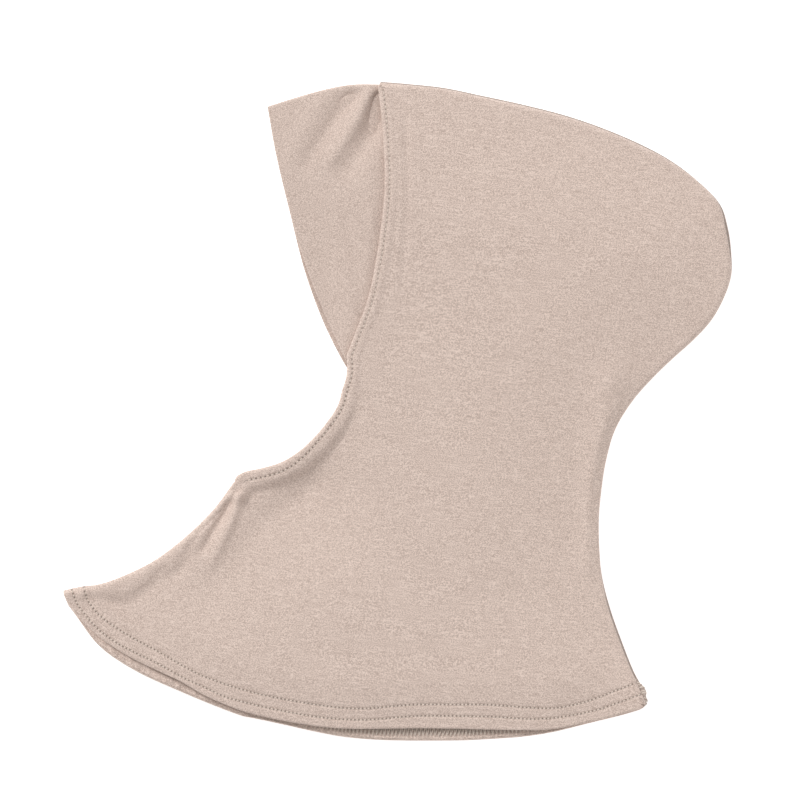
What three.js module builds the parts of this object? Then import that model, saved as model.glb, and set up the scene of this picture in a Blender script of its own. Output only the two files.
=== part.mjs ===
// Hijab underscarf cap: a jersey hood with a doubled brow band, lying flat on its right side.
// Millimetres. +Z points up from the surface, -X towards the face and +Y towards the crown.
// The near layer is the wearer's left side and faces up. The far layer lies on the surface.

import * as THREE from "three";

// Overall size as it lies
const BREADTH = 369;
const LENGTH = 362.5;

// Cloth and clearance
const CLOTH = 1;
const HEM_PLY = 1;
const BAND_WALL = 1.2;
const SEAM_WALL = 1.4;
const FIT = 0.3;
const BAND_EASE = 0.6;

// Room between the two layers
const HEAD_ROOM = 12;
const NECK_ROOM = 8.5;
const BROW_ROOM = 6;
const CROWN_SLOPE = 80;
const THROAT_SLOPE = 60;

// Turned edges, seam allowance and the fold of the brow band
const HEM_TURN = 14;
const FACE_TURN = 6.5;
const FACE_TURN_STOP = 10;
const SEAM_WIDTH = 6;
const BAND_TUCK = 9;
const BAND_BIGHT = 0.4;
const WRINKLE_RISE = 1;

// Sections of the hood from the hem to the brow, as shares of BREADTH and LENGTH.
// Front points follow the throat fold and then the face edge, back points the back seam.
// dip is the share of the hem's curve that the section still follows.
// The marks are where the throat fold ends, where the brow band begins and where it ends.
const SECTIONS = [
  { frontX: 0.001, frontY: 0.226, backX: 0.873, backY: 0.064, dip: 1 },
  { frontX: 0.083, frontY: 0.247, backX: 0.833, backY: 0.152, dip: 0.69 },
  { frontX: 0.188, frontY: 0.312, backX: 0.806, backY: 0.25, dip: 0.3 },
  { frontX: 0.258, frontY: 0.395, backX: 0.804, backY: 0.334, dip: 0, mark: "chin" },
  { frontX: 0.355, frontY: 0.439, backX: 0.811, backY: 0.413, dip: 0 },
  { frontX: 0.414, frontY: 0.511, backX: 0.854, backY: 0.513, dip: 0 },
  { frontX: 0.425, frontY: 0.577, backX: 0.914, backY: 0.577, dip: 0, mark: "cheek" },
  { frontX: 0.438, frontY: 0.622, backX: 0.97, backY: 0.636, dip: 0 },
  { frontX: 0.461, frontY: 0.687, backX: 1, backY: 0.698, dip: 0 },
  { frontX: 0.472, frontY: 0.759, backX: 0.994, backY: 0.777, dip: 0 },
  { frontX: 0.48, frontY: 0.835, backX: 0.943, backY: 0.856, dip: 0 },
  { frontX: 0.478, frontY: 0.903, backX: 0.803, backY: 0.927, dip: 0 },
  { frontX: 0.474, frontY: 0.959, backX: 0.623, backY: 0.979, dip: 0 },
  { frontX: 0.469, frontY: 0.992, backX: 0.48, backY: 0.999, dip: 0, mark: "brow" },
];
const CHIN = SECTIONS.findIndex((row) => row.mark === "chin");
const CHEEK = SECTIONS.findIndex((row) => row.mark === "cheek");
const BROW = SECTIONS.findIndex((row) => row.mark === "brow");

// Share of a section past the chin over which the front of the hood comes out to the face edge
const CHIN_CORNER = 0.4;

// Drop of the hem below the line between its front and back corners, as shares of LENGTH
const HEM_DROP = [
  { at: 0, near: 0, far: 0 },
  { at: 0.05, near: 0.052, far: 0.063 },
  { at: 0.1, near: 0.073, far: 0.096 },
  { at: 0.2, near: 0.105, far: 0.115 },
  { at: 0.3, near: 0.131, far: 0.137 },
  { at: 0.4, near: 0.137, far: 0.142 },
  { at: 0.5, near: 0.129, far: 0.143 },
  { at: 0.6, near: 0.111, far: 0.13 },
  { at: 0.7, near: 0.096, far: 0.114 },
  { at: 0.8, near: 0.082, far: 0.093 },
  { at: 0.9, near: 0.057, far: 0.06 },
  { at: 0.96, near: 0.034, far: 0.036 },
  { at: 1, near: 0, far: 0 },
];

// Front edges of the brow band from its tip down to the cheek, as shares of BREADTH and LENGTH
const BAND_FRONT = [
  { y: 0.965, near: 0.304, far: 0.304 },
  { y: 0.892, near: 0.317, far: 0.317 },
  { y: 0.797, near: 0.34, far: 0.34 },
  { y: 0.713, near: 0.364, far: 0.361 },
  { y: 0.639, near: 0.396, far: 0.39 },
  { y: 0.589, near: 0.419, far: 0.414 },
  { y: 0.568, near: 0.428, far: 0.428 },
];
const BAND_TOP = { x: 0.385, y: 0.985 };

// Wrinkles of the near layer: ends as shares of BREADTH and LENGTH,
// height as a share of WRINKLE_RISE and spread as a share of HEM_TURN
const WRINKLES = [
  { fromX: 0.237, fromY: 0.357, toX: 0.2, toY: 0.279, rise: -1, spread: 0.3 },
  { fromX: 0.256, fromY: 0.346, toX: 0.213, toY: 0.27, rise: 1, spread: 0.34 },
  { fromX: 0.271, fromY: 0.341, toX: 0.227, toY: 0.264, rise: -1, spread: 0.34 },
  { fromX: 0.191, fromY: 0.303, toX: 0.164, toY: 0.25, rise: -0.8, spread: 0.34 },
  { fromX: 0.142, fromY: 0.256, toX: 0.113, toY: 0.237, rise: -0.6, spread: 0.3 },
  { fromX: 0.04, fromY: 0.209, toX: 0.131, toY: 0.225, rise: -0.8, spread: 0.34 },
  { fromX: 0.82, fromY: 0.561, toX: 0.802, toY: 0.273, rise: 0.6, spread: 0.42 },
];

// Steps of the lattices
const NEAR_STEPS = 14;
const FAR_STEPS = 10;
const BEND_STEPS = 4;
const NECK_STEPS = 10;
const HEAD_STEPS = 24;
const TURN_STEPS = 2;
const BAND_STEPS = 16;
const BAND_COLUMNS = 9;
const CLOSE_STEPS = 3;

// Columns of a layer that the turned edge takes at its front, and the seam allowance at its back
const EDGE_COLUMNS = 2;

// The layers turn round the brow band's fold, which is the thickest thing inside the crown.
const BAND_ROLL = BAND_BIGHT + BAND_WALL / 2;
const ROLL = BAND_BIGHT + BAND_WALL + BAND_EASE + CLOTH / 2;
const ROLL_HEIGHT = CLOTH / 2 + ROLL;

// Curves and small sums

function place(x, y) {
  return new THREE.Vector2((x - 0.5) * BREADTH, (y - 0.5) * LENGTH);
}

function curveThrough(points) {
  return new THREE.CatmullRomCurve3(
    points.map((point) => new THREE.Vector3(point.x, point.y, 0)),
    false,
    "centripetal",
  );
}

function pointOn(curve, share) {
  const point = curve.getPoint(THREE.MathUtils.clamp(share, 0, 1));
  return new THREE.Vector2(point.x, point.y);
}

function leftOf(curve, share) {
  const along = curve.getTangent(THREE.MathUtils.clamp(share, 0, 1));
  return new THREE.Vector2(-along.y, along.x);
}

function tableValue(table, column, at) {
  const next = table.findIndex((row) => row.at >= at);
  if (next <= 0) return table[0][column];
  const before = table[next - 1];
  const share = (at - before.at) / (table[next].at - before.at);
  return THREE.MathUtils.lerp(before[column], table[next][column], share);
}

function sectionValue(column, station) {
  const below = Math.min(Math.floor(station), BROW - 1);
  return THREE.MathUtils.lerp(SECTIONS[below][column], SECTIONS[below + 1][column], station - below);
}

function spread(from, to, steps) {
  return Array.from({ length: steps }, (_, step) => from + ((to - from) * (step + 1)) / steps);
}

function distanceTo(line, point) {
  let nearest = Infinity;
  for (let i = 1; i < line.length; i += 1) {
    const run = line[i].clone().sub(line[i - 1]);
    const along = point.clone().sub(line[i - 1]).dot(run) / run.lengthSq();
    const foot = line[i - 1].clone().addScaledVector(run, THREE.MathUtils.clamp(along, 0, 1));
    nearest = Math.min(nearest, foot.distanceTo(point));
  }
  return nearest;
}

function swell(distance, reach) {
  return Math.sin((Math.PI / 2) * Math.min(1, distance / reach));
}

// Outlines of the hood

const frontPoints = SECTIONS.map((row) => place(row.frontX, row.frontY));
const throatCurve = curveThrough(frontPoints.slice(0, CHIN + 1));
const faceCurve = curveThrough(frontPoints.slice(CHIN));
const backCurve = curveThrough(SECTIONS.map((row) => place(row.backX, row.backY)));

function frontAt(station) {
  if (station <= CHIN) return pointOn(throatCurve, station / CHIN);
  return pointOn(faceCurve, (station - CHIN) / (BROW - CHIN));
}

function frontOutward(station) {
  if (station <= CHIN) return leftOf(throatCurve, station / CHIN);
  return leftOf(faceCurve, (station - CHIN) / (BROW - CHIN));
}

function backAt(station) {
  return pointOn(backCurve, station / BROW);
}

// Stations are section numbers. One pair bounds the turned hem and another the turned face edge.
const hemTop = HEM_TURN / backAt(0).distanceTo(backAt(1));
const turnFoot = CHIN - FACE_TURN / frontAt(CHIN - 1).distanceTo(frontAt(CHIN));
const turnHead = BROW - FACE_TURN_STOP / frontAt(BROW - 1).distanceTo(frontAt(BROW));

const stations = [
  0,
  ...spread(0, hemTop, TURN_STEPS),
  ...spread(hemTop, turnFoot, NECK_STEPS),
  ...spread(turnFoot, CHIN, TURN_STEPS),
  ...spread(CHIN, turnHead, HEAD_STEPS),
  ...spread(turnHead, BROW, CLOSE_STEPS),
];

// A row of the hood: where its layers leave the throat fold or face edge and meet the back seam.
function hoodRow(station) {
  const outFront = frontOutward(station);
  const outBack = leftOf(backCurve, station / BROW).negate();
  const held = 1 - THREE.MathUtils.smoothstep(station, CHIN, CHIN + CHIN_CORNER);
  const front = frontAt(station).addScaledVector(outFront, -(ROLL + CLOTH / 2) * held);
  const back = backAt(station).addScaledVector(outBack, -(ROLL + CLOTH / 2));
  const breadth = front.distanceTo(back);
  const run = back.clone().sub(front).divideScalar(breadth);
  const slant = Math.max(Math.abs(run.dot(outFront)), 0.4);
  return {
    station,
    front,
    back,
    outFront,
    outBack,
    turn: Math.min(FACE_TURN / slant / breadth, 0.3),
    seam: Math.min(SEAM_WIDTH / breadth, 0.3),
    dip: sectionValue("dip", station) * LENGTH,
  };
}

const rows = stations.map(hoodRow);
const crownLine = rows.map((row) => row.back);
const throatLine = rows.filter((row) => row.station <= CHIN).map((row) => row.front);

// Top fold of the brow band, from its tip to the end that is tucked under the crown
const tuckRow = rows.findLast((row) => row.back.distanceTo(crownLine.at(-1)) >= BAND_TUCK);
const bandInset = BAND_ROLL + BAND_WALL / 2;
const bandTopCurve = curveThrough([
  place(BAND_FRONT[0].near, BAND_FRONT[0].y).add(new THREE.Vector2(bandInset, -bandInset)),
  place(BAND_TOP.x, BAND_TOP.y).add(new THREE.Vector2(0, -bandInset)),
  crownLine.at(-1),
  tuckRow.back,
]);
const bandTopLine = Array.from({ length: BAND_COLUMNS + 1 }, (_, i) => {
  return pointOn(bandTopCurve, i / BAND_COLUMNS);
});
const upperLine = [...crownLine, ...bandTopLine.toReversed()];

// Heights of the near layer

function wrinkleHeight(point) {
  let height = 0;
  for (const fold of WRINKLES) {
    const line = [place(fold.fromX, fold.fromY), place(fold.toX, fold.toY)];
    const away = distanceTo(line, point) / (fold.spread * HEM_TURN);
    height += WRINKLE_RISE * fold.rise * Math.exp(-away * away);
  }
  return height;
}

function nearHeight(point) {
  const fromCrown = distanceTo(upperLine, point);
  const fromThroat = distanceTo(throatLine, point);
  const level = THREE.MathUtils.smoothstep(point.y, -LENGTH / 2, 0);
  const room = THREE.MathUtils.lerp(NECK_ROOM, HEAD_ROOM, level) + CLOTH;
  const rise = swell(fromCrown, CROWN_SLOPE) * swell(fromThroat, THROAT_SLOPE);
  const smooth = Math.min(1, Math.min(fromCrown, fromThroat) / HEM_TURN);
  return CLOTH / 2 + 2 * ROLL + (room - 2 * ROLL) * rise + wrinkleHeight(point) * smooth;
}

// How much longer a depth is when it is measured straight down through the sloping near layer
function slopeFactor(point) {
  const step = new THREE.Vector2(HEM_PLY, 0);
  const here = nearHeight(point);
  const slopeX = (nearHeight(point.clone().add(step)) - here) / HEM_PLY;
  const slopeY = (nearHeight(point.clone().add(new THREE.Vector2(0, HEM_PLY))) - here) / HEM_PLY;
  return Math.hypot(1, slopeX, slopeY);
}

// Lattices and the solids made from them

function bendPoint(centre, outward, radius, height, angle) {
  return new THREE.Vector3(
    centre.x + outward.x * radius * Math.cos(angle),
    centre.y + outward.y * radius * Math.cos(angle),
    height + radius * Math.sin(angle),
  );
}

function bendAngles(from, to) {
  return spread(from, to, BEND_STEPS).slice(0, -1);
}

// Unit normal at each point: the mean of the normals of the cells round it that are present
function latticeNormals(points, present) {
  const sums = points.map((line) => line.map(() => new THREE.Vector3()));
  forEachCell(points, present, (corners) => {
    const across = at(points, corners[2]).clone().sub(at(points, corners[0]));
    const other = at(points, corners[3]).clone().sub(at(points, corners[1]));
    const normal = across.cross(other).normalize();
    corners.forEach((corner) => at(sums, corner).add(normal));
  });
  return sums.map((line) => line.map((sum) => sum.normalize()));
}

function at(lattice, [row, column]) {
  return lattice[row][column];
}

function forEachCell(points, present, visit) {
  const columns = points[0].length;
  for (let row = 0; row + 1 < points.length; row += 1) {
    for (let column = 0; column < columns; column += 1) {
      const next = (column + 1) % columns;
      if (present(row, column)) {
        visit([[row, column], [row, next], [row + 1, next], [row + 1, column]], row, column);
      }
    }
  }
}

// Closed shell between two depths of a lattice. Cells that aren't present are left open,
// and a wall closes the shell along each free edge.
function shellBetween(lattice, present, top, bottom) {
  const { points, normals } = lattice;
  const columns = points[0].length;
  const positions = [];
  const indices = [];
  const known = new Map();

  function vertex(corner, depth) {
    const key = `${corner[0]} ${corner[1]} ${depth}`;
    if (!known.has(key)) {
      const place3 = at(points, corner).clone().addScaledVector(at(normals, corner), depth);
      known.set(key, positions.length / 3);
      positions.push(place3.x, place3.y, place3.z);
    }
    return known.get(key);
  }

  function face(corners, depths) {
    const [a, b, c, d] = corners.map((corner, i) => vertex(corner, depths[i]));
    indices.push(a, b, c, a, c, d);
  }

  function isThere(row, column) {
    const inside = row >= 0 && row + 1 < points.length;
    return inside && present(row, (column + columns) % columns);
  }

  forEachCell(points, present, (corners, row, column) => {
    const [a, b, c, d] = corners;
    face([a, b, c, d], [top, top, top, top]);
    face([d, c, b, a], [bottom, bottom, bottom, bottom]);
    const sides = [
      { from: a, to: b, open: !isThere(row - 1, column) },
      { from: b, to: c, open: !isThere(row, column + 1) },
      { from: c, to: d, open: !isThere(row + 1, column) },
      { from: d, to: a, open: !isThere(row, column - 1) },
    ];
    for (const side of sides) {
      if (side.open) face([side.to, side.from, side.from, side.to], [top, top, bottom, bottom]);
    }
  });

  const geometry = new THREE.BufferGeometry();
  geometry.setAttribute("position", new THREE.Float32BufferAttribute(positions, 3));
  geometry.setIndex(indices);
  geometry.computeVertexNormals();
  return geometry;
}

// Hood: near layer from the front to the seam, round it, and back along the far layer

function layerShares(row, steps) {
  return [
    0,
    ...spread(0, row.turn, EDGE_COLUMNS),
    ...spread(row.turn, 1 - row.seam, steps),
    ...spread(1 - row.seam, 1, EDGE_COLUMNS),
  ];
}

function hoodPoint(row, share, side) {
  const point = row.front.clone().lerp(row.back, share);
  point.y -= tableValue(HEM_DROP, side, share) * row.dip;
  const height = side === "near" ? nearHeight(point) : CLOTH / 2;
  return new THREE.Vector3(point.x, point.y, height);
}

function hoodRing(row) {
  const near = layerShares(row, NEAR_STEPS).map((share) => hoodPoint(row, share, "near"));
  const far = layerShares(row, FAR_STEPS).map((share) => hoodPoint(row, share, "far"));
  const down = bendAngles(Math.PI / 2, -Math.PI / 2);
  const up = bendAngles(-Math.PI / 2, Math.PI / 2);
  const seamBend = down.map((angle) => bendPoint(row.back, row.outBack, ROLL, ROLL_HEIGHT, angle));
  const throatBend = up.map((angle) => bendPoint(row.front, row.outFront, ROLL, ROLL_HEIGHT, angle));
  return [...near, ...seamBend, ...far.reverse(), ...throatBend];
}

// Numbers of the columns at which the near layer, the seam bend and the far layer end
const nearEnd = NEAR_STEPS + 2 * EDGE_COLUMNS;
const farStart = nearEnd + BEND_STEPS;
const farEnd = farStart + FAR_STEPS + 2 * EDGE_COLUMNS;
const hemTopRow = TURN_STEPS;
const turnFootRow = hemTopRow + NECK_STEPS;
const chinRow = turnFootRow + TURN_STEPS;
const turnHeadRow = chinRow + HEAD_STEPS;

function inThroatBend(column) {
  return column >= farEnd;
}

function hoodHas(row, column) {
  return row < chinRow || !inThroatBend(column);
}

function hemHas(row, column) {
  const clearOfSeam = column < nearEnd - EDGE_COLUMNS || column >= farStart + EDGE_COLUMNS;
  return row < hemTopRow && clearOfSeam;
}

function faceTurnHas(row, column) {
  const inRows = row >= turnFootRow && row < turnHeadRow;
  const atFront = column < EDGE_COLUMNS || (column >= farEnd - EDGE_COLUMNS && column < farEnd);
  return inRows && (atFront || (row < chinRow && inThroatBend(column)));
}

const hoodPoints = rows.map(hoodRing);
const hood = { points: hoodPoints, normals: latticeNormals(hoodPoints, hoodHas) };

// Brow band: near wing up from the cheek, over the top fold and down the far wing

const bandCurves = {
  near: curveThrough(BAND_FRONT.map((row) => place(row.near, row.y))),
  far: curveThrough(BAND_FRONT.map((row) => place(row.far, row.y))),
};

// Depth of the band under the hood: clear of the cloth at the top, and of the turned edge below
function bandDepth(fromTop) {
  const atTop = CLOTH / 2 + BAND_EASE + BAND_WALL / 2;
  const underTurn = HEM_PLY + FIT;
  return atTop + underTurn * THREE.MathUtils.smoothstep(fromTop, 0, FACE_TURN);
}

function bandPoint(side, share, down) {
  const station = THREE.MathUtils.lerp(BROW, CHEEK, down);
  const tucked = frontAt(station).addScaledVector(frontOutward(station), -BAND_TUCK);
  const front = pointOn(bandCurves[side], down);
  const point = front.clone().lerp(tucked, share);
  const topFront = pointOn(bandCurves[side], 0);
  const topBack = frontAt(BROW).addScaledVector(frontOutward(BROW), -BAND_TUCK);
  const arch = pointOn(bandTopCurve, share).sub(topFront.clone().lerp(topBack, share));
  point.addScaledVector(arch, (1 - down) ** 2);
  const bare = Math.max(0, (1 - share) * front.distanceTo(tucked) - BAND_TUCK);
  return { point, bare };
}

function bandHeight(side, point, bare) {
  const fromTop = distanceTo(bandTopLine, point);
  const loose = THREE.MathUtils.smoothstep(bare, FACE_TURN, FACE_TURN + 4 * BAND_TUCK);
  if (side === "far") {
    const lying = BAND_WALL / 2;
    return THREE.MathUtils.lerp(CLOTH / 2 + bandDepth(fromTop), lying, loose);
  }
  const under = nearHeight(point) - bandDepth(fromTop) * slopeFactor(point);
  const crest = BAND_WALL / 2 + 2 * BAND_ROLL;
  const slack = crest + (BROW_ROOM - 2 * BAND_BIGHT) * swell(fromTop, CROWN_SLOPE);
  return THREE.MathUtils.lerp(under, slack, loose);
}

function bandLayer(side, down) {
  return Array.from({ length: BAND_COLUMNS + 1 }, (_, column) => {
    const { point, bare } = bandPoint(side, column / BAND_COLUMNS, down);
    return new THREE.Vector3(point.x, point.y, bandHeight(side, point, bare));
  });
}

function bandBend(angle) {
  return bandTopLine.map((point, column) => {
    const share = column / BAND_COLUMNS;
    const outward = leftOf(bandTopCurve, share);
    const { bare } = bandPoint("near", share, 0);
    const low = (bandHeight("near", point, bare) + bandHeight("far", point, bare)) / 2;
    return bendPoint(point, outward, BAND_ROLL, low, angle);
  });
}

const bandDowns = [0, ...spread(0, 1, BAND_STEPS)];
const bandPoints = [
  ...bandDowns.toReversed().map((down) => bandLayer("near", down)),
  ...bendAngles(Math.PI / 2, -Math.PI / 2).map(bandBend),
  ...bandDowns.map((down) => bandLayer("far", down)),
];

function bandHas(row, column) {
  return column < BAND_COLUMNS;
}

const band = { points: bandPoints, normals: latticeNormals(bandPoints, bandHas) };

// Back seam: the overlocked allowance inside the bend, from the hem to the tucked brow band

function seamRing(row) {
  const reach = ROLL - CLOTH / 2 - 2 * FIT;
  const half = SEAM_WALL / 2;
  const corners = [
    { out: reach, up: -half / 2 },
    { out: reach, up: half / 2 },
    { out: reach - half / 2, up: half },
    { out: reach - SEAM_WIDTH + half / 2, up: half },
    { out: reach - SEAM_WIDTH, up: half / 2 },
    { out: reach - SEAM_WIDTH, up: -half / 2 },
    { out: reach - SEAM_WIDTH + half / 2, up: -half },
    { out: reach - half / 2, up: -half },
  ];
  return corners.map(({ out, up }) => {
    const point = row.back.clone().addScaledVector(row.outBack, out);
    return new THREE.Vector3(point.x, point.y, ROLL_HEIGHT + up);
  });
}

function solidThrough(rings) {
  const count = rings[0].length;
  const last = (rings.length - 1) * count;
  const positions = rings.flat().flatMap((point) => [point.x, point.y, point.z]);
  const indices = [];
  for (let ring = 0; ring + 1 < rings.length; ring += 1) {
    for (let corner = 0; corner < count; corner += 1) {
      const a = ring * count + corner;
      const b = ring * count + ((corner + 1) % count);
      indices.push(a, b + count, b, a, a + count, b + count);
    }
  }
  for (let corner = 1; corner + 1 < count; corner += 1) {
    indices.push(0, corner, corner + 1, last, last + corner + 1, last + corner);
  }
  const geometry = new THREE.BufferGeometry();
  geometry.setAttribute("position", new THREE.Float32BufferAttribute(positions, 3));
  geometry.setIndex(indices);
  geometry.computeVertexNormals();
  return geometry;
}

const seamRows = rows.slice(0, rows.indexOf(tuckRow));

// The pieces

const jersey = { roughness: 0.92, metalness: 0 };
const inner = -(CLOTH / 2 + FIT);

function piece(name, geometry, color) {
  const mesh = new THREE.Mesh(geometry, new THREE.MeshStandardMaterial({ ...jersey, color }));
  mesh.name = name;
  return mesh;
}

const cap = new THREE.Group();
cap.name = "underscarf_cap";
cap.add(
  piece("hood_body", shellBetween(hood, hoodHas, CLOTH / 2, -CLOTH / 2), "#d0bdb1"),
  piece("brow_band", shellBetween(band, bandHas, BAND_WALL / 2, -BAND_WALL / 2), "#d1bdb1"),
  piece("face_hem", shellBetween(hood, faceTurnHas, inner, inner - HEM_PLY), "#cbb8ad"),
  piece("neck_hem", shellBetween(hood, hemHas, inner, inner - HEM_PLY), "#cbb8ad"),
  piece("back_seam", solidThrough(seamRows.map(seamRing)), "#c6b2a6"),
);

// The origin is the middle of the underside.
const box = new THREE.Box3().setFromObject(cap);
const middle = box.getCenter(new THREE.Vector3());
cap.position.set(-middle.x, -middle.y, -box.min.z);

export default cap;
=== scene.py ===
"""Hijab underscarf cap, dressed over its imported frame. Lengths are in metres, in the frame's axes.

The cap lies on its right side. +Z points up, -X towards the face and +Y towards the crown.
"""

import functools
import math
import types

import bmesh
import bpy
import numpy as np
from bpy.props import FloatProperty, FloatVectorProperty, PointerProperty
from bpy.types import Operator, Panel, PropertyGroup
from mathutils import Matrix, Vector, noise


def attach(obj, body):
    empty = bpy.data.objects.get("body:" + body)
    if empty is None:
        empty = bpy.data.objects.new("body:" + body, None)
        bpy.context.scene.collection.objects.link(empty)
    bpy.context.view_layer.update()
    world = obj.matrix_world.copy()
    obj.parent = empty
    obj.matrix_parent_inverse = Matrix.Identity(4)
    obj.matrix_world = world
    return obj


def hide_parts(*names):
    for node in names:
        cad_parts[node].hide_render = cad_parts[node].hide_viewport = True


bl_info = {
    "name": "Underscarf Cap",
    "version": (1, 0, 0),
    "blender": (4, 5, 0),
    "location": "View3D > Sidebar > Cap",
    "description": "Builds the jersey, hems, stitches and stage of a hijab underscarf cap",
    "category": "Object",
}

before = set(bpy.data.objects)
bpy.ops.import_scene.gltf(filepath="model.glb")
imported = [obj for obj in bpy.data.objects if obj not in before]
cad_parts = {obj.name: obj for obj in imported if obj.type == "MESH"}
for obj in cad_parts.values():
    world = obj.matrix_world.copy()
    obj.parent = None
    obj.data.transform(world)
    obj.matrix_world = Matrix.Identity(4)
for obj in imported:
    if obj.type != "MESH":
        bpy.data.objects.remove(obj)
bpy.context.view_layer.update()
MM = 0.001


# Places read off the photograph

PIXEL = 0.55 * MM
MIDDLE = (398.64, 413.08)


def plan(*spots):
    """Places in the plan of the frame, from places in the photograph."""
    return (np.array(spots, float) - MIDDLE) * (PIXEL, -PIXEL)


def stationed(*rows):
    """Stations of a table and their places in the plan."""
    table = np.array(rows, float)
    return table[:, 0], plan(*table[:, 1:])


# Outline of the hood by station, from the hem to the brow: throat fold, face edge and back seam
THROAT = stationed(
    (0, 63, 590), (0.35, 82, 586), (0.62, 97, 584.2), (1, 118, 577.5), (1.5, 153.5, 560.3),
    (2, 187, 534.8), (2.5, 213.5, 508.5), (3, 233.5, 482),
)
FACE = stationed(
    (3, 233.5, 482), (3.08, 236, 477), (3.2, 243, 472.4), (3.45, 260.5, 468.4),
    (3.72, 280.5, 462.4), (4, 300.5, 450), (4.5, 320.5, 430), (5, 337.5, 405.5),
    (5.35, 342, 390), (5.65, 346, 377), (6, 347, 364), (6.3, 346.4, 355.5), (6.6, 349.5, 347),
    (7, 356, 330), (7.5, 365, 306), (8, 371, 284), (9, 379, 238), (10, 384, 190), (11, 383, 145),
    (12, 380, 108), (13, 377, 84.5),
)
BACK = stationed(
    (0, 648.5, 702), (0.15, 644.5, 692.5), (0.3, 639.8, 682.5), (0.5, 634, 671.5),
    (1, 621.5, 640), (1.5, 610, 607),
    (2, 602.5, 576), (2.5, 599.8, 546), (3, 599.6, 516), (3.5, 602.2, 489), (4, 606.2, 463),
    (4.5, 615.7, 430), (5, 633.3, 401), (5.5, 653, 378.5), (6, 673.7, 358.5),
    (6.5, 693.7, 340.5), (7, 711.2, 321.5), (7.5, 724.3, 298.5), (8, 732, 275),
    (8.5, 731.6, 252), (9, 728.2, 228), (9.5, 720.5, 204), (10, 697, 179.5),
    (10.33, 670.5, 159.7), (10.66, 640.5, 143.6), (11, 602, 127.3), (11.33, 565.5, 114.9),
    (11.66, 520.5, 103.5), (12, 480, 94.8), (12.33, 445, 87.5), (12.66, 410, 83.6),
    (12.92, 382, 81.4), (13, 375, 81.2),
)
CHIN, CHEEK, BROW = 3, 6, 13
# Share of the hem's curve that each section still follows
DIP = np.array([1, 0.69, 0.3] + [0] * 11)

# Hem edge of the near and the far layer between its front and back corners
HEM_NEAR = plan(
    (67.5, 603), (73.5, 611), (80, 618.5), (90, 628.5), (100, 637.5), (115, 648), (130, 657),
    (150, 667), (165, 674), (180, 681), (203, 694.5), (224, 704), (244, 711.5), (265, 717),
    (285, 721), (305, 724.5), (326, 727.3), (350, 728.8), (381, 728.8), (420, 728.4),
    (462, 729), (503, 730), (530, 730.3), (545, 730), (565, 727.5), (585, 723), (606, 718.3),
    (626, 713), (636, 710.3), (641.5, 709), (645.2, 706),
)
HEM_FAR = plan(
    (68, 605), (73.5, 612.5), (79.5, 621), (86.5, 631), (94.5, 641.4), (101.5, 648.2),
    (108.5, 653.9), (122.5, 663.3), (144.5, 675.6), (172.5, 688.2), (200.5, 700.2),
    (228.5, 711.4), (242.5, 716.4), (256.5, 719), (284.5, 725.1), (312.5, 731.4),
    (340.5, 736.8), (368.5, 739.6), (396.5, 740.8), (438.5, 741), (466.5, 740.7),
    (494.5, 739.2), (522.5, 737.2), (550.5, 733.1), (564.5, 729.9), (592.5, 722.8),
    (620.5, 716), (634.5, 712), (641.5, 709.4), (645.2, 706.4),
)

# Brow band: front edge of each wing from the tip to the cheek, and the top of its arch
BAND_NEAR = plan((266, 106), (275, 152), (291, 215), (308, 270), (328, 319), (343, 352), (349, 366))
BAND_FAR = plan(
    (266, 106), (275, 152), (290.5, 215), (305, 270), (323, 319), (339, 352), (347, 366)
)
BAND_ARCH = plan((292, 98.6), (320.5, 90.4), (350, 84.6))

# Lower and upper row of the twin stitches along the neck hem
HEM_ROWS = (
    plan(
        (72, 590), (74.5, 598), (77.5, 604.5), (85.5, 615), (93, 624), (109, 638), (130, 650.3),
        (157, 663.3), (185, 678.7), (210, 689.8), (224, 696.5), (264, 707), (285, 711.3),
        (305, 715), (324, 717.6), (345, 719.4), (360, 719.8), (380, 719), (400, 717),
        (420, 715.8), (460, 716), (500, 717), (531, 719), (557, 717.5), (595, 710.5), (626, 700),
        (644, 693),
    ),
    plan(
        (84, 587.5), (86.5, 598), (91, 605.5), (96, 612), (103, 618.5), (110.5, 624), (130, 636.5),
        (157, 651), (185, 667), (203, 676), (244, 690), (285, 699.3), (303, 702.3), (326, 705.8),
        (350, 708.2), (368, 708.2), (400, 705.4), (422, 704.2), (460, 704.4), (490, 704.6),
        (510, 706), (535, 707.8), (557, 707.8), (585, 702), (615, 691), (637, 682.5),
    ),
)

# Folds and hollows: places of the line, height at its two ends in mm, and spread in mm to the
# right and the left of the line
HOOD_FOLDS = [
    (((225, 496), (213, 516), (195, 546)), 1.5, 0.9, 2.2, 2.2),
    (((232, 492), (222, 517), (203, 550)), -1.7, -1.6, 2.4, 2.4),
    (((240, 497), (232, 520), (212, 563)), 2.6, 1.2, 2.8, 2.6),
    (((305, 500), (276, 521), (250, 547), (226, 580)), -6.6, -2.6, 12.5, 42.0),
    (((194, 540), (178, 572)), -1.3, -0.6, 3.0, 5.0),
    (((160, 571), (142, 592)), -0.9, -0.3, 3.0, 4.0),
    (((180, 573), (161, 584), (145, 595), (128, 604), (102, 607)), -2.4, -3.7, 5.2, 30.0),
    (((84, 586), (87, 598), (96, 603)), -1.6, -1.8, 0.9, 1.2),
    (((79, 586), (80, 598), (85, 606)), 1.2, 0.8, 1.8, 1.8),
    (((75, 586), (77, 600)), -1.2, -0.7, 1.0, 1.0),
    (((406, 120), (408, 200), (402, 290)), -0.45, -0.3, 2.2, 2.2),
    (((399, 116), (402, 200), (395, 290)), 0.3, 0.25, 2.0, 2.0),
    (((612, 380), (598, 480), (598, 560)), 2.4, 2.0, 10.0, 8.0),
    (((676, 172), (702, 196)), -0.8, -0.5, 3.0, 3.0),
    (((712, 200), (690, 214)), -0.6, -0.3, 2.4, 2.4),
]
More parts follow.
